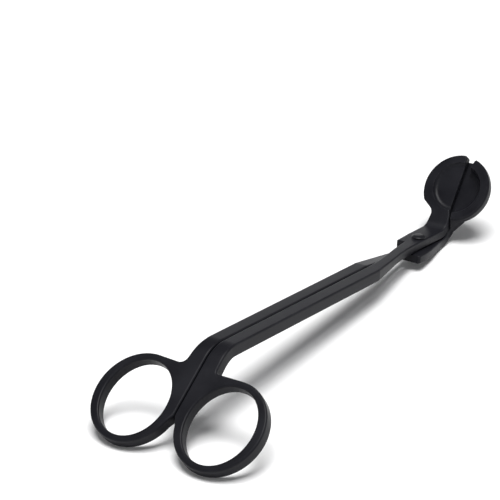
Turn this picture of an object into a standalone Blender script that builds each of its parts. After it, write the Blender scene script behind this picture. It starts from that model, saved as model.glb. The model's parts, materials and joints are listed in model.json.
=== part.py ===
"""Wick trimmer: two bent levers that cross at a rivet.

Each lever is drawn as a flat blank and then bent, the way the forged piece is made.
A blank has x across the tool, s along it and z through its thickness, in millimetres.
s is 0 at the handle bend, grows along the straight shaft and goes on up the head.
"""
import math

import bmesh
import bpy
from mathutils import Matrix, Vector

MM = 0.001
GAP = 0.3                       # clearance between pieces that touch
HALF_GAP = GAP / 2

# shaft and its two bends
BAR_WIDTH = 4.75                # one bar; two lie side by side
BAR_EDGE = HALF_GAP + BAR_WIDTH
BAR_THICK = 4.0
PLATE_THICK = 2.9               # each lever where they lie on each other
SHAFT_LENGTH = 131.5            # between the corners of the two bends
HANDLE_BEND = math.radians(41.0)
HANDLE_BEND_RADIUS = 13.0
HEAD_BEND = math.radians(55.5)
HEAD_BEND_RADIUS = 4.0
SHAFT_SLOPE = math.radians(7.57)  # the shaft falls towards the head on a table

# where the levers cross
THINNING_START = 83.5
THINNING_END = 97.0
DIVE_START = 84.0
DIVE_END = 110.5
UNDERSIDE_START = 90.0
PIVOT_X = -1.2
PIVOT_S = 118.3

# finger rings, measured from the handle bend
RING_X = 14.95
RING_BACK = 22.4
HOLE_HALF_WIDTH = 10.85
HOLE_HALF_LENGTH = 12.4
RING_HALF_WIDTH = 13.9
RING_HALF_LENGTH = 14.5
SHOULDER_BACK = 8.0

# round head, measured from the head bend
BLADE_RADIUS = 12.05
DISC_RADIUS = 11.8
DISC_OUT = 15.1
RECESS_RADIUS = 8.5
RECESS_OUT = 15.9
RECESS_DEPTH = 1.1
RECESS_TILT = math.radians(2.0)  # shallower towards the neck
DISH_FLOOR_RADIUS = 9.4
DISH_TIP_RADIUS = 10.8
LAP = 2.5                       # how far the dish floor passes under the blade
RIM_TOP_X = 3.3
RIM_BOTTOM_X = 2.1

# rivet
SHANK_RADIUS = 1.6
RIVET_HEAD_RADIUS = 2.35
RIVET_HEAD_HEIGHT = 1.0
RIVET_DOME = 0.3
TAIL_RADIUS = 2.35
TAIL_POCKET_RADIUS = 2.7
TAIL_DEPTH = 1.0

EDGE = 0.55                     # chamfer along the levers' edges
CURVE_STEP = math.radians(9.0)
TURN_STEPS = 40

LOWER_TOP = -PLATE_THICK - GAP
LOWER_BOTTOM = LOWER_TOP - PLATE_THICK


# ---------------------------------------------------------------- bending

def ramp(value, start, end):
    """0 before start, 1 after end, and an even slope between them."""
    return min(1.0, max(0.0, (value - start) / (end - start)))


HANDLE_TANGENT = HANDLE_BEND_RADIUS * math.tan(HANDLE_BEND / 2)
HANDLE_ARC = HANDLE_BEND_RADIUS * HANDLE_BEND
HEAD_TANGENT = HEAD_BEND_RADIUS * math.tan(HEAD_BEND / 2)
HEAD_ARC = HEAD_BEND_RADIUS * HEAD_BEND


def handle_s(back):
    """The blank's s at a distance back from the corner of the handle bend."""
    return 2 * HANDLE_TANGENT - HANDLE_ARC - back


def head_s(out):
    """The blank's s at a distance out from the corner of the head bend."""
    return SHAFT_LENGTH - 2 * HEAD_TANGENT + HEAD_ARC + out


def bend(x, s, z):
    """Carry a point of the blank to its place on the bent lever."""
    head_start = SHAFT_LENGTH - HEAD_TANGENT
    if s < HANDLE_TANGENT:
        angle = min(HANDLE_BEND, (HANDLE_TANGENT - s) / HANDLE_BEND_RADIUS)
        rest = max(0.0, HANDLE_TANGENT - s - HANDLE_ARC)
        radius = HANDLE_BEND_RADIUS + z
        y = HANDLE_TANGENT - radius * math.sin(angle) - rest * math.cos(angle)
        height = radius * math.cos(angle) - HANDLE_BEND_RADIUS - rest * math.sin(angle)
        return Vector((x, y, height))
    if s > head_start:
        angle = min(HEAD_BEND, (s - head_start) / HEAD_BEND_RADIUS)
        rest = max(0.0, s - head_start - HEAD_ARC)
        radius = HEAD_BEND_RADIUS - z
        y = head_start + radius * math.sin(angle) + rest * math.cos(angle)
        height = HEAD_BEND_RADIUS - radius * math.cos(angle) + rest * math.sin(angle)
        return Vector((x, y, height))
    return Vector((x, s, z))


def upper_layer(s):
    """Top and bottom of the upper lever: it thins where it crosses."""
    return 0.0, -BAR_THICK + (BAR_THICK - PLATE_THICK) * ramp(s, THINNING_START, THINNING_END)


def lower_layer(s):
    """Top and bottom of the lower lever: it dives under the upper one."""
    top = LOWER_TOP * ramp(s, DIVE_START, DIVE_END)
    bottom = -BAR_THICK + (LOWER_BOTTOM + BAR_THICK) * ramp(s, UNDERSIDE_START, DIVE_END)
    return top, bottom


# ---------------------------------------------------------------- outlines

def ellipse(centre, half_width, half_length, start, end):
    """Points along an elliptical arc; angles in radians, 0 towards +x."""
    count = max(2, round(abs(end - start) / CURVE_STEP))
    angles = [start + (end - start) * i / count for i in range(count + 1)]
    return [(centre[0] + half_width * math.cos(a), centre[1] + half_length * math.sin(a))
            for a in angles]


def rounded(corners):
    """Round a closed outline; each corner is (x, s) or (x, s, radius)."""
    points = []
    for i, corner in enumerate(corners):
        here = Vector(corner[:2])
        if len(corner) == 2:
            points.append(here)
            continue
        to_last = (Vector(corners[i - 1][:2]) - here).normalized()
        to_next = (Vector(corners[(i + 1) % len(corners)][:2]) - here).normalized()
        half = to_last.angle(to_next) / 2
        reach = corner[2] / math.tan(half)
        middle = here + (to_last + to_next).normalized() * (corner[2] / math.sin(half))
        first = here + to_last * reach - middle
        sweep = first.angle_signed(here + to_next * reach - middle)
        count = max(1, round(abs(sweep) / (2 * CURVE_STEP)))
        for step in range(count + 1):
            points.append(middle + Matrix.Rotation(-sweep * step / count, 2) @ first)
    return points


def inset(points, distance):
    """Move a closed loop to the left of its direction by a distance."""
    moved = []
    for i, here in enumerate(points):
        before = (Vector(here) - Vector(points[i - 1])).normalized()
        after = (Vector(points[(i + 1) % len(points)]) - Vector(here)).normalized()
        left = Vector((-before.y - after.y, before.x + after.x)).normalized()
        lean = max(0.5, left.dot(Vector((-before.y, before.x))))
        moved.append(Vector(here) + left * (distance / lean))
    return moved


def ring_outline(side, flare, notch_radius):
    """From the bar's outer edge, round the ring, to the split between the levers."""
    arc = ellipse((RING_X, handle_s(RING_BACK)), RING_HALF_WIDTH, RING_HALF_LENGTH,
                  math.radians(90.0), math.radians(-163.0))
    points = [(side * x, s) for x, s in arc]
    notch = (side * (BAR_EDGE + flare), handle_s(SHOULDER_BACK + 0.1), notch_radius)
    palm = (side * HALF_GAP, handle_s(RING_BACK + 1.5))
    return [(side * BAR_EDGE, handle_s(-2.0)), notch] + points + [palm]


def ring_hole(side):
    """The finger hole, as a closed loop."""
    loop = ellipse((side * RING_X, handle_s(RING_BACK)), HOLE_HALF_WIDTH, HOLE_HALF_LENGTH,
                   0.0, 2 * math.pi)
    return loop[:-1]


def upper_outline():
    """The right-hand ring and bar, and the left half of the head."""
    centre = (0.0, head_s(DISC_OUT))
    blade = ellipse(centre, BLADE_RADIUS, BLADE_RADIUS, math.radians(98.0), math.radians(212.0))
    blade_tip = (0.0, centre[1] + BLADE_RADIUS, 1.0)
    split_side = [
        (HALF_GAP, DIVE_START), (-0.1, 90.0), (-0.9, 96.0), (-2.2, 104.2), (-3.0, 111.7, 0.3),
        (-5.8, 111.8, 0.5), (-6.2, 120.0), (-6.2, head_s(0.0)), (-5.7, head_s(5.6), 3.0),
    ]
    right_side = [
        (0.0, head_s(8.3)), (1.2, head_s(5.2)), (1.6, head_s(2.5)), (1.5, 126.0),
        (1.5, 112.0), (1.7, 106.5), (2.2, 101.5), (3.7, 92.0), (BAR_EDGE, THINNING_START),
    ]
    handle = ring_outline(1.0, 0.5, 0.9)
    return rounded(handle + split_side + list(reversed(blade)) + [blade_tip] + right_side)


def lower_outline():
    """The left-hand ring and bar, and the floor of the head's right half."""
    centre = (0.0, head_s(DISC_OUT))
    lap_angle = math.asin(LAP / DISH_TIP_RADIUS)
    tip = ellipse(centre, DISH_TIP_RADIUS, DISH_TIP_RADIUS,
                  math.radians(90.0) + lap_angle, math.radians(72.0))
    floor = ellipse(centre, DISH_FLOOR_RADIUS, DISH_FLOOR_RADIUS,
                    math.radians(66.0), math.radians(-56.0))
    right_side = [
        (4.2, head_s(5.2)), (2.3, head_s(3.0)), (1.7, head_s(0.6)), (2.3, 127.0),
        (3.8, 119.0), (4.3, 114.0), (4.1, DIVE_END, 0.9), (-3.2, DIVE_END, 0.3),
        (-2.5, 104.2), (-1.2, 96.0), (-0.4, 90.0), (-HALF_GAP, DIVE_START),
    ]
    left_side = [
        (-BAR_EDGE, DIVE_END), (-4.7, 114.0), (-4.3, head_s(4.0)), (-LAP, head_s(8.0)),
    ]
    handle = ring_outline(-1.0, 1.0, 2.4)
    return rounded(list(reversed(handle)) + left_side + tip + floor + right_side)


# ---------------------------------------------------------------- meshes

def area(points):
    """Signed area: positive when the loop runs anticlockwise."""
    pairs = zip(points, points[1:] + points[:1])
    return sum(a[0] * b[1] - b[0] * a[1] for a, b in pairs) / 2


def edge_levels(thickness):
    """How far the edge is drawn in at each height of the blank."""
    return [(EDGE, 0.0), (0.0, -EDGE), (0.0, EDGE - thickness), (EDGE, -thickness)]


def blank(outlines, levels):
    """A flat plate with chamfered edges; the first loop is outside, the rest are holes."""
    shape = bmesh.new()
    caps = {0: [], len(levels) - 1: []}
    for index, outline in enumerate(outlines):
        loop = [Vector(p) for p in outline]
        if (area(loop) > 0) == (index > 0):
            loop.reverse()
        rows = []
        for draw_in, z in levels:
            rows.append([shape.verts.new((p.x, p.y, z)) for p in inset(loop, draw_in)])
        for upper, lower in zip(rows, rows[1:]):
            for i in range(len(loop)):
                shape.faces.new((upper[i - 1], lower[i - 1], lower[i], upper[i]))
        for level in caps:
            row = rows[level]
            caps[level] += [shape.edges.get((row[i - 1], row[i])) for i in range(len(row))]
    for level, edges in caps.items():
        up = Vector((0, 0, 1 if level == 0 else -1))
        bmesh.ops.triangle_fill(shape, use_beauty=True, edges=edges, normal=up)
    bmesh.ops.recalc_face_normals(shape, faces=shape.faces)
    return shape


def stations():
    """Where the blank is cut across so that it can bend."""
    def spread(start, end, count):
        return [start + (end - start) * i / count for i in range(count + 1)]
    head_start = SHAFT_LENGTH - HEAD_TANGENT
    return (spread(HANDLE_TANGENT - HANDLE_ARC, HANDLE_TANGENT, 5)
            + [THINNING_START, DIVE_START, UNDERSIDE_START, THINNING_END, DIVE_END]
            + spread(head_start, head_start + HEAD_ARC, 5))


def bent_lever(outlines, layer):
    """Cut the blank at its stations, give it its thickness there and bend it."""
    shape = blank(outlines, edge_levels(BAR_THICK))
    for s in stations():
        everything = shape.verts[:] + shape.edges[:] + shape.faces[:]
        bmesh.ops.bisect_plane(shape, geom=everything, dist=0.001,
                               plane_co=(0, s, 0), plane_no=(0, 1, 0))
    for vert in shape.verts:
        top, bottom = layer(vert.co.y)
        depth = -vert.co.z / BAR_THICK
        vert.co = bend(vert.co.x, vert.co.y, top + (bottom - top) * depth)
    return shape


def turned(profile, start, end, steps):
    """Turn a closed (radius, height) profile about z, part way or all the way round."""
    shape = bmesh.new()
    whole = end - start > 2 * math.pi - 0.001
    rows = []
    for i in range(steps if whole else steps + 1):
        angle = start + (end - start) * i / steps
        rows.append([shape.verts.new((r * math.cos(angle), r * math.sin(angle), z))
                     for r, z in profile])
    pairs = list(zip(rows, rows[1:]))
    if whole:
        pairs.append((rows[-1], rows[0]))
    else:
        shape.faces.new(rows[0])
        shape.faces.new(rows[-1])
    for one, two in pairs:
        for i in range(len(profile)):
            shape.faces.new((one[i - 1], two[i - 1], two[i], one[i]))
    bmesh.ops.recalc_face_normals(shape, faces=shape.faces)
    return shape


def solid_of_turning(outline):
    """A turned solid from (radius, height) points; both ends close on the axis."""
    shape = bmesh.new()
    rows = []
    for i in range(TURN_STEPS):
        angle = 2 * math.pi * i / TURN_STEPS
        rows.append([shape.verts.new((r * math.cos(angle), r * math.sin(angle), z))
                     for r, z in outline])
    for i, row in enumerate(rows):
        for j in range(len(outline) - 1):
            shape.faces.new((rows[i - 1][j], row[j], row[j + 1], rows[i - 1][j + 1]))
    shape.faces.new([row[0] for row in rows])
    shape.faces.new([row[-1] for row in rows])
    bmesh.ops.recalc_face_normals(shape, faces=shape.faces)
    return shape


def head_place(out):
    """Matrix that carries the flat head plane, centred at a distance out, to its place."""
    base = Vector((0, SHAFT_LENGTH, 0))
    along = Vector((0, math.cos(HEAD_BEND), math.sin(HEAD_BEND)))
    return Matrix.Translation(base + along * out) @ Matrix.Rotation(HEAD_BEND, 4, 'X')


def add_object(name, shape, material=None):
    """Put a mesh in the scene in metres."""
    bmesh.ops.scale(shape, vec=(MM, MM, MM), verts=shape.verts)
    mesh = bpy.data.meshes.new(name)
    shape.to_mesh(mesh)
    shape.free()
    piece = bpy.data.objects.new(name, mesh)
    bpy.context.collection.objects.link(piece)
    if material:
        mesh.materials.append(material)
    return piece


def combine(piece, tools, operation):
    """Join or cut a piece with tool shapes and keep only the result."""
    for number, shape in enumerate(tools):
        tool = add_object(f"{piece.name}_tool_{number}", shape)
        modifier = piece.modifiers.new("combine", 'BOOLEAN')
        modifier.operation = operation
        modifier.solver = 'EXACT'
        modifier.object = tool
        graph = bpy.context.evaluated_depsgraph_get()
        mesh = bpy.data.meshes.new_from_object(piece.evaluated_get(graph))
        piece.modifiers.clear()
        old = piece.data
        piece.data = mesh
        bpy.data.meshes.remove(old)
        bpy.data.objects.remove(tool)


def placed(shape, matrix):
    """A shape moved to its place."""
    shape.transform(matrix)
    return shape


# ---------------------------------------------------------------- sub-parts

def bore(radius, top, bottom):
    """A cutter for a round hole on the pivot's axis."""
    shape = solid_of_turning([(radius, top), (radius, bottom)])
    return placed(shape, Matrix.Translation((PIVOT_X, PIVOT_S, 0)))


def recess():
    """The shallow round hollow in the top of the blade."""
    wall = 0.5
    shape = solid_of_turning([
        (RECESS_RADIUS + wall, 0.5), (RECESS_RADIUS, -0.4),
        (RECESS_RADIUS - wall, -RECESS_DEPTH + 0.15), (RECESS_RADIUS - 3 * wall, -RECESS_DEPTH),
    ])
    return placed(shape, head_place(RECESS_OUT) @ Matrix.Rotation(RECESS_TILT, 4, 'X'))


def dish_wall():
    """The raised rim round the right half of the head."""
    profile = [
        (RECESS_RADIUS + 0.3, 0.0), (DISC_RADIUS - EDGE, 0.0), (DISC_RADIUS, -EDGE),
        (DISC_RADIUS, -2.2), (DISC_RADIUS - 0.4, -3.6), (DISC_RADIUS - 1.1, -4.8),
        (DISC_RADIUS - 2.1, -5.7), (DISC_RADIUS - 2.9, -6.1),
        (8.0, -5.0), (5.6, LOWER_TOP - 0.3), (6.2, LOWER_TOP + 0.1), (7.2, -2.6),
        (7.9, -1.8), (RECESS_RADIUS - 0.2, -1.0), (RECESS_RADIUS, -0.3),
    ]
    start = -math.acos(RIM_BOTTOM_X / DISC_RADIUS)
    end = math.acos(RIM_TOP_X / DISC_RADIUS)
    steps = round((end - start) / CURVE_STEP)
    return placed(turned(profile, start, end, steps), head_place(DISC_OUT))


def dish_cheek():
    """The solid corner that carries the rim down into the neck."""
    low = [(RIM_BOTTOM_X, 1.0, -3.0), (RIM_BOTTOM_X, 6.5, -5.5), (2.3, 1.6, -5.5),
           (3.9, 4.2, -5.2), (5.2, 5.4, -4.8)]
    high = [(RIM_BOTTOM_X, 3.7, -0.2), (RIM_BOTTOM_X, 6.0, -0.2), (3.0, 3.9, -0.2),
            (4.2, 4.4, -1.2), (4.6, 5.6, -0.2)]
    shape = bmesh.new()
    corners = [shape.verts.new(corner) for corner in low + high]
    bmesh.ops.convex_hull(shape, input=corners)
    inside = [v for v in shape.verts if not v.link_faces]
    bmesh.ops.delete(shape, geom=inside, context='VERTS')
    return placed(shape, head_place(0.0))


def make_upper_lever(material):
    shape = bent_lever([upper_outline(), ring_hole(1.0)], upper_layer)
    lever = add_object("upper_lever", shape, material)
    combine(lever, [bore(SHANK_RADIUS + GAP, 1.0, -PLATE_THICK - 1.0), recess()], 'DIFFERENCE')
    return lever


def make_lower_lever(material):
    shape = bent_lever([lower_outline(), ring_hole(-1.0)], lower_layer)
    lever = add_object("lower_lever", shape, material)
    combine(lever, [dish_wall(), dish_cheek()], 'UNION')
    cutters = [
        bore(SHANK_RADIUS + GAP, LOWER_TOP + 1.0, LOWER_BOTTOM - 1.0),
        bore(TAIL_POCKET_RADIUS, LOWER_BOTTOM + TAIL_DEPTH, LOWER_BOTTOM - 1.0),
    ]
    combine(lever, cutters, 'DIFFERENCE')
    return lever


def make_rivet(material):
    """Low button head on the upper plate, shank through both, tail formed in a pocket below."""
    edge_top = RIVET_HEAD_HEIGHT - RIVET_DOME
    tail_seat = LOWER_BOTTOM + TAIL_DEPTH - GAP
    tail_end = LOWER_BOTTOM + 0.1
    outline = [
        (0.7, RIVET_HEAD_HEIGHT), (1.6, RIVET_HEAD_HEIGHT - 0.08),
        (RIVET_HEAD_RADIUS - 0.3, edge_top), (RIVET_HEAD_RADIUS, edge_top - 0.25),
        (RIVET_HEAD_RADIUS, GAP), (SHANK_RADIUS, GAP), (SHANK_RADIUS, tail_seat),
        (TAIL_RADIUS, tail_seat), (TAIL_RADIUS, tail_end + 0.2), (TAIL_RADIUS - 0.3, tail_end),
    ]
    shape = placed(solid_of_turning(outline), Matrix.Translation((PIVOT_X, PIVOT_S, 0)))
    return add_object("pivot_rivet", shape, material)


# ---------------------------------------------------------------- assembly

def satin_black(name, colour, roughness):
    """Black paint over steel."""
    material = bpy.data.materials.new(name)
    material.use_nodes = True
    shader = material.node_tree.nodes["Principled BSDF"]
    shader.inputs["Base Color"].default_value = (*colour, 1.0)
    shader.inputs["Roughness"].default_value = roughness
    shader.inputs["Metallic"].default_value = 0.0
    return material


def stand_on_table(pieces):
    """Tilt the tool as it lies, and put the middle of its footprint at the origin."""
    tilt = Matrix.Rotation(-SHAFT_SLOPE, 4, 'X')
    for piece in pieces:
        piece.data.transform(tilt)
    corners = [v.co for piece in pieces for v in piece.data.vertices]
    lowest = [min(c[i] for c in corners) for i in range(3)]
    highest = [max(c[i] for c in corners) for i in range(3)]
    middle = Vector(((lowest[0] + highest[0]) / 2, (lowest[1] + highest[1]) / 2, lowest[2]))
    pivot = tilt @ Vector((PIVOT_X * MM, PIVOT_S * MM, 0.0)) - middle
    for piece in pieces:
        piece.data.transform(Matrix.Translation(-middle - pivot))
        piece.location = pivot
        piece.data.shade_smooth()
        piece.data.set_sharp_from_angle(angle=math.radians(30.0))


def main():
    for old in list(bpy.data.objects):
        bpy.data.objects.remove(old)
    paint = satin_black("satin_black_paint", (0.022, 0.023, 0.027), 0.42)
    rivet_paint = satin_black("black_rivet", (0.03, 0.03, 0.034), 0.35)
    pieces = [make_upper_lever(paint), make_lower_lever(paint), make_rivet(rivet_paint)]
    stand_on_table(pieces)


main()
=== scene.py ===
"""Looks of the wick trimmer: finely rounded levers, satin black paint, floor and light.

The fine levers are drawn as flat blanks and bent round the same corners as the CAD levers, with
rounded edges in place of chamfers. A blank has x across the tool, s along it and z through its
thickness, in millimetres. s is 0 at the handle bend and goes on up the head.
"""
import json
import math
import bmesh
import bpy
from mathutils import Matrix, Vector


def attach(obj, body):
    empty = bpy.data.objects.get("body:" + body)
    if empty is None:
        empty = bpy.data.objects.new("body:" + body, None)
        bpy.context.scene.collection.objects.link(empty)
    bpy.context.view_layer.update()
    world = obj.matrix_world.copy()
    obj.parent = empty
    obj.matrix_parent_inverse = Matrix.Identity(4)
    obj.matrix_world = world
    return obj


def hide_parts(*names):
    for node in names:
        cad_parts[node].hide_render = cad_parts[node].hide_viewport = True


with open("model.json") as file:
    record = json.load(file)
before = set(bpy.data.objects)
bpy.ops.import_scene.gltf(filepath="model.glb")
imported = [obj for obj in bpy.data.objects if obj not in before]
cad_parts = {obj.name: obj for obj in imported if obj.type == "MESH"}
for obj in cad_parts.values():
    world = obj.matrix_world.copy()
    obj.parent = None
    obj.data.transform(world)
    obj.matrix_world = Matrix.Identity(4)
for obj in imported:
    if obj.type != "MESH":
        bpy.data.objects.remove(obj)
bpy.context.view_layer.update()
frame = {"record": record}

MM = 0.001
GAP = 0.3
HALF_GAP = GAP / 2

# shaft and its two bends
BAR_EDGE = 4.9                  # from the split to a bar's outer edge
BAR_THICK = 4.0
PLATE_THICK = 2.9               # each lever where they lie on each other
SHAFT_LENGTH = 131.5            # between the corners of the two bends
HANDLE_BEND = math.radians(41.0)
HANDLE_BEND_RADIUS = 13.0
HEAD_BEND = math.radians(55.5)
HEAD_BEND_RADIUS = 4.0

# where the levers cross
THINNING_START = 83.5
THINNING_END = 97.0
DIVE_START = 84.0
DIVE_END = 110.5
UNDERSIDE_START = 90.0
PIVOT_X = -1.2
PIVOT_S = 118.3

# finger rings, measured from the handle bend
RING_X = 14.95
RING_BACK = 22.4
HOLE_HALF_WIDTH = 10.85
HOLE_HALF_LENGTH = 12.4
RING_HALF_WIDTH = 13.9
RING_HALF_LENGTH = 14.5
SHOULDER_BACK = 8.0

# round head, measured from the head bend
BLADE_RADIUS = 12.05
DISC_RADIUS = 11.8
DISC_OUT = 15.1
RECESS_RADIUS = 8.5
RECESS_OUT = 15.9
RECESS_DEPTH = 1.1
RECESS_TILT = math.radians(2.0)  # shallower towards the neck
DISH_FLOOR_RADIUS = 9.4
DISH_TIP_RADIUS = 10.8
LAP = 2.5                       # how far the dish floor passes under the blade
RIM_TOP_X = 3.3
RIM_BOTTOM_X = 2.1

# rivet
SHANK_RADIUS = 1.6
RIVET_HEAD_RADIUS = 2.35
RIVET_HEAD_HEIGHT = 1.0
RIVET_DOME = 0.3
TAIL_RADIUS = 2.35
TAIL_POCKET_RADIUS = 2.7
TAIL_DEPTH = 1.0

# fineness of the drawn surface
EDGE_RADIUS = 0.6
EDGE_STEPS = 4
CURVE_STEP = math.radians(3.0)
TURN_STEPS = 96
BEND_CUTS = 14
FLAT_FACE_WEIGHT = 90

# paint: noise scales per metre, lengths in metres
PATCH_SCALE = 90.0
GRAIN_SCALE = 2600.0
PIT_SCALE = 900.0
WEAR_WIDTH = 0.0007
PAINT_IOR = 1.2
BUMP_STRENGTH = 0.22
BUMP_HEIGHT = 0.00006

# floor and light, in metres and watts
FLOOR_HALF_SIZE = 3.0
FLOOR_DROP = 0.0002             # below the tool's lowest edge
KEY_PLACE = (0.15, -0.1, 1.6)
KEY_SIZE = 1.0
KEY_POWER = 34.0
HORIZON_GLOW = 1.5
OVERHEAD_GLOW = 0.17
GLOW_FADE_START = 0.04
GLOW_FADE_END = 0.36

LOWER_TOP = -PLATE_THICK - GAP
LOWER_BOTTOM = LOWER_TOP - PLATE_THICK
HANDLE_TANGENT = HANDLE_BEND_RADIUS * math.tan(HANDLE_BEND / 2)
HANDLE_ARC = HANDLE_BEND_RADIUS * HANDLE_BEND
HEAD_TANGENT = HEAD_BEND_RADIUS * math.tan(HEAD_BEND / 2)
HEAD_ARC = HEAD_BEND_RADIUS * HEAD_BEND


# ---------------------------------------------------------------- bending

def ramp(value, start, end):
    """0 before start, 1 after end, and an even slope between them."""
    return min(1.0, max(0.0, (value - start) / (end - start)))


def handle_s(back):
    """The blank's s at a distance back from the corner of the handle bend."""
    return 2 * HANDLE_TANGENT - HANDLE_ARC - back


def head_s(out):
    """The blank's s at a distance out from the corner of the head bend."""
    return SHAFT_LENGTH - 2 * HEAD_TANGENT + HEAD_ARC + out


def bend(x, s, z):
    """Carry a point of the blank to its place on the bent lever."""
    head_start = SHAFT_LENGTH - HEAD_TANGENT
    if s < HANDLE_TANGENT:
        angle = min(HANDLE_BEND, (HANDLE_TANGENT - s) / HANDLE_BEND_RADIUS)
        rest = max(0.0, HANDLE_TANGENT - s - HANDLE_ARC)
        radius = HANDLE_BEND_RADIUS + z
        y = HANDLE_TANGENT - radius * math.sin(angle) - rest * math.cos(angle)
        height = radius * math.cos(angle) - HANDLE_BEND_RADIUS - rest * math.sin(angle)
        return Vector((x, y, height))
    if s > head_start:
        angle = min(HEAD_BEND, (s - head_start) / HEAD_BEND_RADIUS)
        rest = max(0.0, s - head_start - HEAD_ARC)
        radius = HEAD_BEND_RADIUS - z
        y = head_start + radius * math.sin(angle) + rest * math.cos(angle)
        height = HEAD_BEND_RADIUS - radius * math.cos(angle) + rest * math.sin(angle)
        return Vector((x, y, height))
    return Vector((x, s, z))


def upper_layer(s):
    """Top and bottom of the upper lever: it thins where it crosses."""
    return 0.0, -BAR_THICK + (BAR_THICK - PLATE_THICK) * ramp(s, THINNING_START, THINNING_END)


def lower_layer(s):
    """Top and bottom of the lower lever: it dives under the upper one."""
    top = LOWER_TOP * ramp(s, DIVE_START, DIVE_END)
    bottom = -BAR_THICK + (LOWER_BOTTOM + BAR_THICK) * ramp(s, UNDERSIDE_START, DIVE_END)
    return top, bottom


# ---------------------------------------------------------------- outlines

def ellipse(centre, half_width, half_length, start, end):
    """Points along an elliptical arc; angles in radians, 0 towards +x."""
    count = max(2, round(abs(end - start) / CURVE_STEP))
    angles = [start + (end - start) * i / count for i in range(count + 1)]
    return [(centre[0] + half_width * math.cos(a), centre[1] + half_length * math.sin(a))
            for a in angles]


def rounded(corners):
    """Round a closed outline; each corner is (x, s) or (x, s, radius)."""
    points = []
    for i, corner in enumerate(corners):
        here = Vector(corner[:2])
        if len(corner) == 2:
            points.append(here)
            continue
        to_last = (Vector(corners[i - 1][:2]) - here).normalized()
        to_next = (Vector(corners[(i + 1) % len(corners)][:2]) - here).normalized()
        half = to_last.angle(to_next) / 2
        reach = corner[2] / math.tan(half)
        middle = here + (to_last + to_next).normalized() * (corner[2] / math.sin(half))
        first = here + to_last * reach - middle
        sweep = first.angle_signed(here + to_next * reach - middle)
        count = max(1, round(abs(sweep) / (2 * CURVE_STEP)))
        for step in range(count + 1):
            points.append(middle + Matrix.Rotation(-sweep * step / count, 2) @ first)
    return points


def inset(points, distance):
    """Move a closed loop to the left of its direction by a distance."""
    moved = []
    for i, here in enumerate(points):
        before = (Vector(here) - Vector(points[i - 1])).normalized()
        after = (Vector(points[(i + 1) % len(points)]) - Vector(here)).normalized()
        left = Vector((-before.y - after.y, before.x + after.x)).normalized()
        lean = max(0.5, left.dot(Vector((-before.y, before.x))))
        moved.append(Vector(here) + left * (distance / lean))
    return moved


def ring_outline(side, flare, notch_radius):
    """From the bar's outer edge, round the ring, to the split between the levers."""
    arc = ellipse((RING_X, handle_s(RING_BACK)), RING_HALF_WIDTH, RING_HALF_LENGTH,
                  math.radians(90.0), math.radians(-163.0))
    points = [(side * x, s) for x, s in arc]
    notch = (side * (BAR_EDGE + flare), handle_s(SHOULDER_BACK + 0.1), notch_radius)
    palm = (side * HALF_GAP, handle_s(RING_BACK + 1.5))
    return [(side * BAR_EDGE, handle_s(-2.0)), notch] + points + [palm]


def ring_hole(side):
    """The finger hole, as a closed loop."""
    loop = ellipse((side * RING_X, handle_s(RING_BACK)), HOLE_HALF_WIDTH, HOLE_HALF_LENGTH,
                   0.0, 2 * math.pi)
    return loop[:-1]


def upper_outline():
    """The right-hand ring and bar, and the left half of the head."""
    centre = (0.0, head_s(DISC_OUT))
    blade = ellipse(centre, BLADE_RADIUS, BLADE_RADIUS, math.radians(98.0), math.radians(212.0))
    blade_tip = (0.0, centre[1] + BLADE_RADIUS, 1.0)
    split_side = [
        (HALF_GAP, DIVE_START), (-0.1, 90.0), (-0.9, 96.0), (-2.2, 104.2), (-3.0, 111.7, 0.3),
        (-5.8, 111.8, 0.5), (-6.2, 120.0), (-6.2, head_s(0.0)), (-5.7, head_s(5.6), 3.0),
    ]
    right_side = [
        (0.0, head_s(8.3)), (1.2, head_s(5.2)), (1.6, head_s(2.5)), (1.5, 126.0),
        (1.5, 112.0), (1.7, 106.5), (2.2, 101.5), (3.7, 92.0), (BAR_EDGE, THINNING_START),
    ]
    handle = ring_outline(1.0, 0.5, 0.9)
    return rounded(handle + split_side + list(reversed(blade)) + [blade_tip] + right_side)


def lower_outline():
    """The left-hand ring and bar, and the floor of the head's right half."""
    centre = (0.0, head_s(DISC_OUT))
    lap_angle = math.asin(LAP / DISH_TIP_RADIUS)
    tip = ellipse(centre, DISH_TIP_RADIUS, DISH_TIP_RADIUS,
                  math.radians(90.0) + lap_angle, math.radians(72.0))
    floor = ellipse(centre, DISH_FLOOR_RADIUS, DISH_FLOOR_RADIUS,
                    math.radians(66.0), math.radians(-56.0))
    right_side = [
        (4.2, head_s(5.2)), (2.3, head_s(3.0)), (1.7, head_s(0.6)), (2.3, 127.0),
        (3.8, 119.0), (4.3, 114.0), (4.1, DIVE_END, 0.9), (-3.2, DIVE_END, 0.3),
        (-2.5, 104.2), (-1.2, 96.0), (-0.4, 90.0), (-HALF_GAP, DIVE_START),
    ]
    left_side = [
        (-BAR_EDGE, DIVE_END), (-4.7, 114.0), (-4.3, head_s(4.0)), (-LAP, head_s(8.0)),
    ]
    handle = ring_outline(-1.0, 1.0, 2.4)
    return rounded(list(reversed(handle)) + left_side + tip + floor + right_side)


# ---------------------------------------------------------------- meshes

def area(points):
    """Signed area: positive when the loop runs anticlockwise."""
    pairs = zip(points, points[1:] + points[:1])
    return sum(a[0] * b[1] - b[0] * a[1] for a, b in pairs) / 2


def edge_levels(thickness):
    """How far the edge is drawn in at each height of the blank, round its two edges."""
    turns = [math.pi / 2 * i / EDGE_STEPS for i in range(EDGE_STEPS + 1)]
    top = [(EDGE_RADIUS * (1 - math.sin(a)), EDGE_RADIUS * (math.cos(a) - 1)) for a in turns]
    bottom = [(draw_in, -thickness - z) for draw_in, z in reversed(top)]
    return top + bottom


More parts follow.
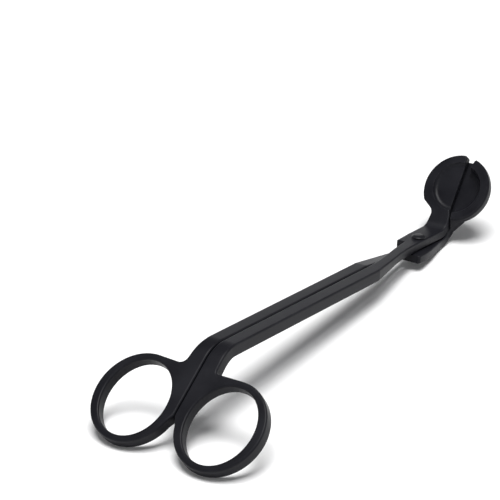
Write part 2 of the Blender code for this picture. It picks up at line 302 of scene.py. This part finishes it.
def blank(outlines, levels):
    """A flat plate with rounded edges; the first loop is outside, the rest are holes."""
    shape = bmesh.new()
    caps = {0: [], len(levels) - 1: []}
    for index, outline in enumerate(outlines):
        loop = [Vector(p) for p in outline]
        if (area(loop) > 0) == (index > 0):
            loop.reverse()
        rows = []
        for draw_in, z in levels:
            rows.append([shape.verts.new((p.x, p.y, z)) for p in inset(loop, draw_in)])
        for upper, lower in zip(rows, rows[1:]):
            for i in range(len(loop)):
                shape.faces.new((upper[i - 1], lower[i - 1], lower[i], upper[i]))
        for level in caps:
            row = rows[level]
            caps[level] += [shape.edges.get((row[i - 1], row[i])) for i in range(len(row))]
    for level, edges in caps.items():
        up = Vector((0, 0, 1 if level == 0 else -1))
        bmesh.ops.triangle_fill(shape, use_beauty=True, edges=edges, normal=up)
    bmesh.ops.recalc_face_normals(shape, faces=shape.faces)
    return shape


def stations():
    """Where the blank is cut across so that it can bend."""
    def spread(start, end, count):
        return [start + (end - start) * i / count for i in range(count + 1)]
    head_start = SHAFT_LENGTH - HEAD_TANGENT
    return (spread(HANDLE_TANGENT - HANDLE_ARC, HANDLE_TANGENT, BEND_CUTS)
            + [THINNING_START, DIVE_START, UNDERSIDE_START, THINNING_END, DIVE_END]
            + spread(head_start, head_start + HEAD_ARC, BEND_CUTS))


def bent_lever(outlines, layer):
    """Cut the blank at its stations, give it its thickness there and bend it."""
    shape = blank(outlines, edge_levels(BAR_THICK))
    for s in stations():
        everything = shape.verts[:] + shape.edges[:] + shape.faces[:]
        bmesh.ops.bisect_plane(shape, geom=everything, dist=0.001,
                               plane_co=(0, s, 0), plane_no=(0, 1, 0))
    for vert in shape.verts:
        top, bottom = layer(vert.co.y)
        depth = -vert.co.z / BAR_THICK
        vert.co = bend(vert.co.x, vert.co.y, top + (bottom - top) * depth)
    return shape


def turned(profile, start, end, steps):
    """Turn a closed (radius, height) profile part of the way round z."""
    shape = bmesh.new()
    rows = []
    for i in range(steps + 1):
        angle = start + (end - start) * i / steps
        rows.append([shape.verts.new((r * math.cos(angle), r * math.sin(angle), z))
                     for r, z in profile])
    shape.faces.new(rows[0])
    shape.faces.new(rows[-1])
    for one, two in zip(rows, rows[1:]):
        for i in range(len(profile)):
            shape.faces.new((one[i - 1], two[i - 1], two[i], one[i]))
    bmesh.ops.recalc_face_normals(shape, faces=shape.faces)
    return shape


def solid_of_turning(outline):
    """A turned solid from (radius, height) points; both ends close on the axis."""
    shape = bmesh.new()
    rows = []
    for i in range(TURN_STEPS):
        angle = 2 * math.pi * i / TURN_STEPS
        rows.append([shape.verts.new((r * math.cos(angle), r * math.sin(angle), z))
                     for r, z in outline])
    for i, row in enumerate(rows):
        for j in range(len(outline) - 1):
            shape.faces.new((rows[i - 1][j], row[j], row[j + 1], rows[i - 1][j + 1]))
    shape.faces.new([row[0] for row in rows])
    shape.faces.new([row[-1] for row in rows])
    bmesh.ops.recalc_face_normals(shape, faces=shape.faces)
    return shape


def head_place(out):
    """Matrix that carries the flat head plane, centred at a distance out, to its place."""
    base = Vector((0, SHAFT_LENGTH, 0))
    along = Vector((0, math.cos(HEAD_BEND), math.sin(HEAD_BEND)))
    return Matrix.Translation(base + along * out) @ Matrix.Rotation(HEAD_BEND, 4, 'X')


def add_object(name, shape, material=None):
    """Put a mesh in the scene in metres."""
    bmesh.ops.scale(shape, vec=(MM, MM, MM), verts=shape.verts)
    mesh = bpy.data.meshes.new(name)
    shape.to_mesh(mesh)
    shape.free()
    piece = bpy.data.objects.new(name, mesh)
    bpy.context.collection.objects.link(piece)
    if material:
        mesh.materials.append(material)
    return piece


def combine(piece, tools, operation):
    """Join or cut a piece with tool shapes and keep only the result."""
    for number, shape in enumerate(tools):
        tool = add_object(f"{piece.name}_tool_{number}", shape)
        modifier = piece.modifiers.new("combine", 'BOOLEAN')
        modifier.operation = operation
        modifier.solver = 'EXACT'
        modifier.object = tool
        graph = bpy.context.evaluated_depsgraph_get()
        mesh = bpy.data.meshes.new_from_object(piece.evaluated_get(graph))
        piece.modifiers.clear()
        old = piece.data
        piece.data = mesh
        bpy.data.meshes.remove(old)
        bpy.data.objects.remove(tool)


def placed(shape, matrix):
    """A shape moved to its place."""
    shape.transform(matrix)
    return shape


# ---------------------------------------------------------------- sub-parts

def bore(radius, top, bottom):
    """A cutter for a round hole on the pivot's axis."""
    shape = solid_of_turning([(radius, top), (radius, bottom)])
    return placed(shape, Matrix.Translation((PIVOT_X, PIVOT_S, 0)))


def recess():
    """The shallow round hollow in the top of the blade."""
    wall = 0.5
    shape = solid_of_turning([
        (RECESS_RADIUS + wall, 0.5), (RECESS_RADIUS, -0.4),
        (RECESS_RADIUS - wall, -RECESS_DEPTH + 0.15), (RECESS_RADIUS - 3 * wall, -RECESS_DEPTH),
    ])
    return placed(shape, head_place(RECESS_OUT) @ Matrix.Rotation(RECESS_TILT, 4, 'X'))


def dish_wall():
    """The raised rim round the right half of the head."""
    profile = [
        (RECESS_RADIUS + 0.3, 0.0), (DISC_RADIUS - EDGE_RADIUS, 0.0),
        (DISC_RADIUS, -EDGE_RADIUS),
        (DISC_RADIUS, -2.2), (DISC_RADIUS - 0.4, -3.6), (DISC_RADIUS - 1.1, -4.8),
        (DISC_RADIUS - 2.1, -5.7), (DISC_RADIUS - 2.9, -6.1),
        (8.0, -5.0), (5.6, LOWER_TOP - 0.3), (6.2, LOWER_TOP + 0.1), (7.2, -2.6),
        (7.9, -1.8), (RECESS_RADIUS - 0.2, -1.0), (RECESS_RADIUS, -0.3),
    ]
    start = -math.acos(RIM_BOTTOM_X / DISC_RADIUS)
    end = math.acos(RIM_TOP_X / DISC_RADIUS)
    steps = round((end - start) / CURVE_STEP)
    return placed(turned(profile, start, end, steps), head_place(DISC_OUT))


def dish_cheek():
    """The solid corner that carries the rim down into the neck."""
    low = [(RIM_BOTTOM_X, 1.0, -3.0), (RIM_BOTTOM_X, 6.5, -5.5), (2.3, 1.6, -5.5),
           (3.9, 4.2, -5.2), (5.2, 5.4, -4.8)]
    high = [(RIM_BOTTOM_X, 3.7, -0.2), (RIM_BOTTOM_X, 6.0, -0.2), (3.0, 3.9, -0.2),
            (4.2, 4.4, -1.2), (4.6, 5.6, -0.2)]
    shape = bmesh.new()
    corners = [shape.verts.new(corner) for corner in low + high]
    bmesh.ops.convex_hull(shape, input=corners)
    inside = [v for v in shape.verts if not v.link_faces]
    bmesh.ops.delete(shape, geom=inside, context='VERTS')
    return placed(shape, head_place(0.0))


def make_upper_lever(material):
    shape = bent_lever([upper_outline(), ring_hole(1.0)], upper_layer)
    lever = add_object("upper_lever", shape, material)
    combine(lever, [bore(SHANK_RADIUS + GAP, 1.0, -PLATE_THICK - 1.0), recess()], 'DIFFERENCE')
    return lever


def make_lower_lever(material):
    shape = bent_lever([lower_outline(), ring_hole(-1.0)], lower_layer)
    lever = add_object("lower_lever", shape, material)
    combine(lever, [dish_wall(), dish_cheek()], 'UNION')
    cutters = [
        bore(SHANK_RADIUS + GAP, LOWER_TOP + 1.0, LOWER_BOTTOM - 1.0),
        bore(TAIL_POCKET_RADIUS, LOWER_BOTTOM + TAIL_DEPTH, LOWER_BOTTOM - 1.0),
    ]
    combine(lever, cutters, 'DIFFERENCE')
    return lever


def make_rivet(material):
    """Low button head on the upper plate, shank through both, tail formed in a pocket below."""
    edge_top = RIVET_HEAD_HEIGHT - RIVET_DOME
    tail_seat = LOWER_BOTTOM + TAIL_DEPTH - GAP
    tail_end = LOWER_BOTTOM + 0.1
    outline = [
        (0.7, RIVET_HEAD_HEIGHT), (1.6, RIVET_HEAD_HEIGHT - 0.08),
        (RIVET_HEAD_RADIUS - 0.3, edge_top), (RIVET_HEAD_RADIUS, edge_top - 0.25),
        (RIVET_HEAD_RADIUS, GAP), (SHANK_RADIUS, GAP), (SHANK_RADIUS, tail_seat),
        (TAIL_RADIUS, tail_seat), (TAIL_RADIUS, tail_end + 0.2), (TAIL_RADIUS - 0.3, tail_end),
    ]
    shape = placed(solid_of_turning(outline), Matrix.Translation((PIVOT_X, PIVOT_S, 0)))
    return add_object("pivot_rivet", shape, material)


# ---------------------------------------------------------------- materials

def node(tree, kind, **settings):
    """A shader node with its settings and input values."""
    made = tree.nodes.new(kind)
    for key, value in settings.items():
        if key in made.inputs:
            made.inputs[key].default_value = value
        else:
            setattr(made, key, value)
    return made


def mix_colour(tree, factor, first, second):
    """A colour mix; first and second are colours or sockets."""
    mix = tree.nodes.new("ShaderNodeMix")
    mix.data_type = 'RGBA'
    tree.links.new(factor, mix.inputs[0])
    for socket, value in ((mix.inputs[6], first), (mix.inputs[7], second)):
        if isinstance(value, tuple):
            socket.default_value = (*value, 1.0)
        else:
            tree.links.new(value, socket)
    return mix.outputs[2]


def scaled(tree, value, low, high, to_low, to_high):
    """Map a value from one range to another, clamped."""
    change = node(tree, "ShaderNodeMapRange", clamp=True)
    for index, limit in enumerate((low, high, to_low, to_high), start=1):
        change.inputs[index].default_value = limit
    tree.links.new(value, change.inputs[0])
    return change.outputs[0]


def noise(tree, place, scale, detail, roughness=0.5):
    """Noise from 0 to 1 over the surface."""
    made = node(tree, "ShaderNodeTexNoise", Scale=scale, Detail=detail, Roughness=roughness)
    tree.links.new(place, made.inputs["Vector"])
    return made.outputs["Fac"]


def satin_black(name, deep, light, worn, base_roughness):
    """Thin satin black paint over steel: fine grain, soft patches, edges rubbed a little paler."""
    material = bpy.data.materials.new(name)
    material.use_nodes = True
    tree = material.node_tree
    shader = tree.nodes["Principled BSDF"]
    place = node(tree, "ShaderNodeTexCoord").outputs["Object"]

    patches = noise(tree, place, PATCH_SCALE, 3.0)
    grain = noise(tree, place, GRAIN_SCALE, 2.0, 0.6)
    pits = noise(tree, place, PIT_SCALE, 4.0, 0.65)
    colour = mix_colour(tree, scaled(tree, patches, 0.35, 0.7, 0.0, 1.0), deep, light)
    speckled = mix_colour(tree, scaled(tree, grain, 0.45, 0.8, 0.0, 0.35), colour, light)

    soft_edge = node(tree, "ShaderNodeBevel", samples=6, Radius=WEAR_WIDTH)
    sharpness = node(tree, "ShaderNodeVectorMath", operation='DOT_PRODUCT')
    surface = node(tree, "ShaderNodeNewGeometry")
    tree.links.new(soft_edge.outputs[0], sharpness.inputs[0])
    tree.links.new(surface.outputs["True Normal"], sharpness.inputs[1])
    on_edge = scaled(tree, sharpness.outputs["Value"], 0.99, 0.80, 0.0, 1.0)
    rubbed = node(tree, "ShaderNodeMath", operation='MULTIPLY')
    tree.links.new(on_edge, rubbed.inputs[0])
    tree.links.new(scaled(tree, pits, 0.42, 0.66, 0.0, 0.75), rubbed.inputs[1])
    finish = mix_colour(tree, rubbed.outputs[0], speckled, worn)
    tree.links.new(finish, shader.inputs["Base Color"])

    gloss = scaled(tree, patches, 0.3, 0.7, base_roughness - 0.05, base_roughness + 0.06)
    tree.links.new(gloss, shader.inputs["Roughness"])
    shader.inputs["IOR"].default_value = PAINT_IOR

    height = node(tree, "ShaderNodeMath", operation='ADD')
    tree.links.new(scaled(tree, grain, 0.2, 0.8, 0.0, 0.5), height.inputs[0])
    tree.links.new(scaled(tree, pits, 0.2, 0.8, 0.0, 0.5), height.inputs[1])
    bump = node(tree, "ShaderNodeBump", Strength=BUMP_STRENGTH, Distance=BUMP_HEIGHT)
    tree.links.new(height.outputs[0], bump.inputs["Height"])
    tree.links.new(bump.outputs[0], shader.inputs["Normal"])
    return material


def paper_white(name):
    """Matt white paper for the floor."""
    material = bpy.data.materials.new(name)
    material.use_nodes = True
    tree = material.node_tree
    shader = tree.nodes["Principled BSDF"]
    place = node(tree, "ShaderNodeTexCoord").outputs["Object"]
    tint = mix_colour(tree, noise(tree, place, 6.0, 2.0), (0.93, 0.93, 0.93), (0.95, 0.95, 0.95))
    tree.links.new(tint, shader.inputs["Base Color"])
    shader.inputs["Roughness"].default_value = 0.9
    shader.inputs["Specular IOR Level"].default_value = 0.1
    return material


# ---------------------------------------------------------------- placing on the frame

pivot = frame["record"]["behaviour"]["joints"][0]
pivot_at = Vector(pivot["pos_m"])
pivot_axis = Vector(pivot["axis"]).normalized()


def onto_frame(piece, cad_node, body):
    """Stand a fine piece where its CAD node is, and let it ride in the node's place."""
    tilt = Vector((0, 0, 1)).rotation_difference(pivot_axis).to_matrix().to_4x4()
    own_pivot = Vector((PIVOT_X * MM, PIVOT_S * MM, 0.0))
    piece.data.transform(Matrix.Translation(pivot_at) @ tilt @ Matrix.Translation(-own_pivot))
    piece.data.shade_smooth()
    piece.data.set_sharp_from_angle(angle=math.radians(40.0))
    weigh = piece.modifiers.new("flat_faces_stay_flat", 'WEIGHTED_NORMAL')
    weigh.keep_sharp = True
    weigh.weight = FLAT_FACE_WEIGHT
    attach(piece, body)
    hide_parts(cad_node)


def floor(material):
    """A wide pale floor under the tool."""
    shape = bmesh.new()
    half = FLOOR_HALF_SIZE
    corners = [(-half, -half), (half, -half), (half, half), (-half, half)]
    shape.faces.new([shape.verts.new((x, y, 0.0)) for x, y in corners])
    mesh = bpy.data.meshes.new("floor")
    shape.to_mesh(mesh)
    shape.free()
    mesh.materials.append(material)
    surface = bpy.data.objects.new("floor", mesh)
    bpy.context.collection.objects.link(surface)
    surface.location.z = -FLOOR_DROP


def soft_light(name, place, aim, size, power):
    """A square soft light that faces a point."""
    lamp = bpy.data.lights.new(name, 'AREA')
    lamp.shape = 'SQUARE'
    lamp.size = size
    lamp.energy = power
    holder = bpy.data.objects.new(name, lamp)
    holder.location = place
    holder.rotation_euler = (Vector(aim) - Vector(place)).to_track_quat('-Z', 'Y').to_euler()
    bpy.context.collection.objects.link(holder)


def studio():
    """A white sweep that is bright near the horizon, darker overhead, and one broad soft light."""
    bpy.context.scene.view_settings.view_transform = 'Standard'
    world = bpy.data.worlds.new("studio")
    bpy.context.scene.world = world
    world.use_nodes = True
    tree = world.node_tree
    heading = node(tree, "ShaderNodeTexCoord").outputs["Generated"]
    axes = node(tree, "ShaderNodeSeparateXYZ")
    tree.links.new(heading, axes.inputs[0])
    sky = scaled(tree, axes.outputs["Z"], GLOW_FADE_START, GLOW_FADE_END,
                 HORIZON_GLOW, OVERHEAD_GLOW)
    tree.links.new(sky, tree.nodes["Background"].inputs["Strength"])
    tree.nodes["Background"].inputs["Color"].default_value = (0.98, 0.985, 1.0, 1.0)
    soft_light("key_light", KEY_PLACE, (0, 0, 0), KEY_SIZE, KEY_POWER)


def camera():
    """Low three-quarter view from behind the rings and to the right."""
    lens = bpy.data.cameras.new("camera")
    lens.sensor_width = 36.0
    lens.lens = 135.14
    lens.clip_start = 0.01
    holder = bpy.data.objects.new("camera", lens)
    eye = Vector((0.2858, -0.4331, 0.2843))
    view = Vector((-0.52836, 0.72475, -0.44224))
    right = Vector((0.81825, 0.57363, -0.03753))
    turn = Matrix((right, right.cross(view), -view)).transposed()
    holder.matrix_world = Matrix.Translation(eye) @ turn.to_4x4()
    bpy.context.collection.objects.link(holder)
    bpy.context.scene.camera = holder


def main():
    paint = satin_black("satin_black_paint", (0.0078, 0.0079, 0.0102), (0.0125, 0.0127, 0.0158),
                        (0.04, 0.04, 0.044), 0.36)
    rivet_paint = satin_black("black_rivet", (0.007, 0.0072, 0.009), (0.013, 0.0132, 0.0155),
                              (0.05, 0.05, 0.055), 0.3)
    onto_frame(make_upper_lever(paint), "upper_lever", "upper")
    onto_frame(make_lower_lever(paint), "lower_lever", "lower")
    onto_frame(make_rivet(rivet_paint), "pivot_rivet", "lower")
    floor(paper_white("white_floor"))
    studio()
    camera()


main()
